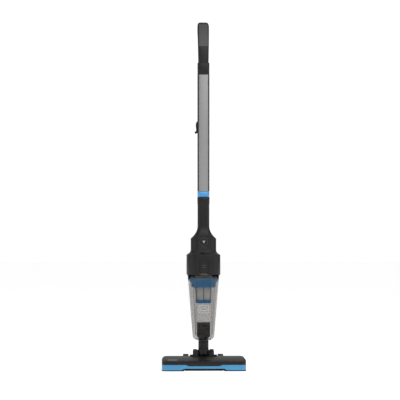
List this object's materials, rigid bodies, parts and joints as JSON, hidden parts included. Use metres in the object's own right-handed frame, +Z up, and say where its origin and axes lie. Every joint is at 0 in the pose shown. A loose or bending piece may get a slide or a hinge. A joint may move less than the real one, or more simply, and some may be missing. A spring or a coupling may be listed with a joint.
{
  "type": "cordless stick vacuum",
  "caption": "Upright cordless stick vacuum: wide brush head on a tilting, swivelling neck, clear tapered dust bin, motor and battery body, slim wand and bent-back handle.",
  "frame": {"origin": "on the floor, on the underside of the head's sole, straight under the wand's axis", "axes": "+Z up along the wand, front of the head towards -Y, +X towards the head's end that is on the right when seen from the front"},
  "size_m": [0.266, 0.14, 1.1101],
  "materials": {
    "black_plastic": "satin black moulded plastic",
    "dark_plastic": "matt dark plastic",
    "soft_grip": "soft grey grip",
    "blue_plastic": "satin blue plastic",
    "grey_metal": "satin grey paint",
    "dark_metal": "satin black paint",
    "steel": "bright steel",
    "brass": "plain brass",
    "rubber": "matt rubber",
    "tyre": "matt soft tread",
    "clear_bin": "smoked clear plastic",
    "filter_cloth": "white filter cloth",
    "bristle": "blue nylon bristle",
    "board": "green circuit board",
    "cell_wrap": "shrink wrap",
    "lamp": "milky lens"
  },
  "bodies": {
    "head": {"front_bumper": "blue_plastic", "head_top_cover": "black_plastic", "head_base": "dark_plastic", "lint_strip": "rubber", "brush_bearing_left": "brass", "brush_bearing_right": "brass", "brush_motor": "steel", "drive_belt": "rubber", "wheel_axle_left": "steel", "wheel_axle_right": "steel", "pivot_bracket_left": "black_plastic", "pivot_pin_left": "steel", "pivot_bracket_right": "black_plastic", "pivot_pin_right": "steel"},
    "brush": {"brush_core": "dark_plastic", "bristle_strip_1": "bristle", "bristle_strip_2": "bristle", "brush_pulley": "dark_plastic"},
    "brush_motor_rotor": {"motor_pulley": "brass"},
    "wheel_left": {"rear_wheel_left": "tyre"},
    "wheel_right": {"rear_wheel_right": "tyre"},
    "neck": {"neck_elbow": "black_plastic"},
    "sleeve": {"swivel_sleeve": "black_plastic"},
    "head_release": {"head_release_button": "blue_plastic"},
    "bin": {"dust_bin": "clear_bin", "inlet_duct": "dark_plastic"},
    "flap": {"inlet_flap": "rubber"},
    "hand_unit": {"intake_frame": "black_plastic", "filter_seal": "rubber", "filter_holder": "blue_plastic", "filter_sleeve": "filter_cloth", "filter_base": "blue_plastic", "body_front_shell": "black_plastic", "body_rear_shell": "black_plastic", "circuit_board": "board", "charging_socket": "rubber", "fan_shroud": "dark_plastic", "motor_can": "steel", "motor_bracket": "dark_plastic", "battery_cell_1": "cell_wrap", "battery_cell_2": "cell_wrap", "battery_cell_3": "cell_wrap", "battery_cell_4": "cell_wrap", "battery_tray": "dark_plastic", "blue_collar": "blue_plastic", "wand_socket": "dark_plastic"},
    "fan": {"impeller": "grey_metal"},
    "power_key": {"power_button": "dark_plastic", "charge_indicator": "lamp"},
    "bin_latch": {"bin_release_button": "dark_plastic"},
    "wand_latch": {"wand_release_button": "dark_plastic"},
    "wand": {"wand_tube": "dark_metal", "wand_front_strip": "grey_metal", "wand_plug": "dark_plastic", "accessory_clip": "black_plastic", "handle_front_shell": "black_plastic", "handle_rear_shell": "black_plastic", "handle_grip_pad": "soft_grip", "handle_collar": "black_plastic"}
  },
  "joints": [
    {"name": "brush_spin", "type": "hinge", "parent": "head", "child": "brush", "pos_m": [0, -0.046, 0.017], "axis": [1, 0, 0], "continuous": true},
    {"name": "motor_pulley_spin", "type": "hinge", "parent": "head", "child": "brush_motor_rotor", "pos_m": [0, -0.006, 0.017], "axis": [1, 0, 0], "continuous": true},
    {"name": "wheel_left_roll", "type": "hinge", "parent": "head", "child": "wheel_left", "pos_m": [-0.0555, 0.034, 0.0245], "axis": [1, 0, 0], "continuous": true},
    {"name": "wheel_right_roll", "type": "hinge", "parent": "head", "child": "wheel_right", "pos_m": [0.0555, 0.034, 0.0245], "axis": [1, 0, 0], "continuous": true},
    {"name": "neck_tilt", "type": "hinge", "parent": "head", "child": "neck", "pos_m": [0, 0.012, 0.048], "axis": [-1, 0, 0], "range_deg": [0, 70]},
    {"name": "neck_swivel", "type": "hinge", "parent": "neck", "child": "sleeve", "pos_m": [0, 0, 0.07], "axis": [0, 0, 1], "range_deg": [-40, 40]},
    {"name": "head_release_press", "type": "slide", "parent": "sleeve", "child": "head_release", "axis": [0, -1, 0], "range_m": [0, 0.0012], "stiffness_N_per_m": 800},
    {"name": "unit_lift_off", "type": "slide", "parent": "sleeve", "child": "bin", "axis": [0, 0, 1], "range_m": [0, 0.04]},
    {"name": "flap_swing", "type": "hinge", "parent": "bin", "child": "flap", "pos_m": [0, 0.0114, 0.149], "axis": [-1, 0, 0], "range_deg": [0, 70]},
    {"name": "bin_separation", "type": "slide", "parent": "bin", "child": "hand_unit", "axis": [0, 0, 1], "range_m": [0, 0.095]},
    {"name": "fan_spin", "type": "hinge", "parent": "hand_unit", "child": "fan", "pos_m": [0, -0.011, 0.32], "axis": [0, 0, 1], "continuous": true},
    {"name": "power_press", "type": "slide", "parent": "hand_unit", "child": "power_key", "axis": [0, 1, 0], "range_m": [0, 0.0015], "stiffness_N_per_m": 600},
    {"name": "bin_release_press", "type": "slide", "parent": "hand_unit", "child": "bin_latch", "axis": [0, 1, 0], "range_m": [0, 0.0025], "stiffness_N_per_m": 800},
    {"name": "wand_release_press", "type": "slide", "parent": "hand_unit", "child": "wand_latch", "axis": [0, -1, 0], "range_m": [0, 0.0012], "stiffness_N_per_m": 800},
    {"name": "wand_pull_off", "type": "slide", "parent": "hand_unit", "child": "wand", "axis": [0, 0, 1], "range_m": [0, 0.07]}
  ],
  "couplings": [
    {"joint": "motor_pulley_spin", "follows": "brush_spin", "ratio": 2}
  ]
}
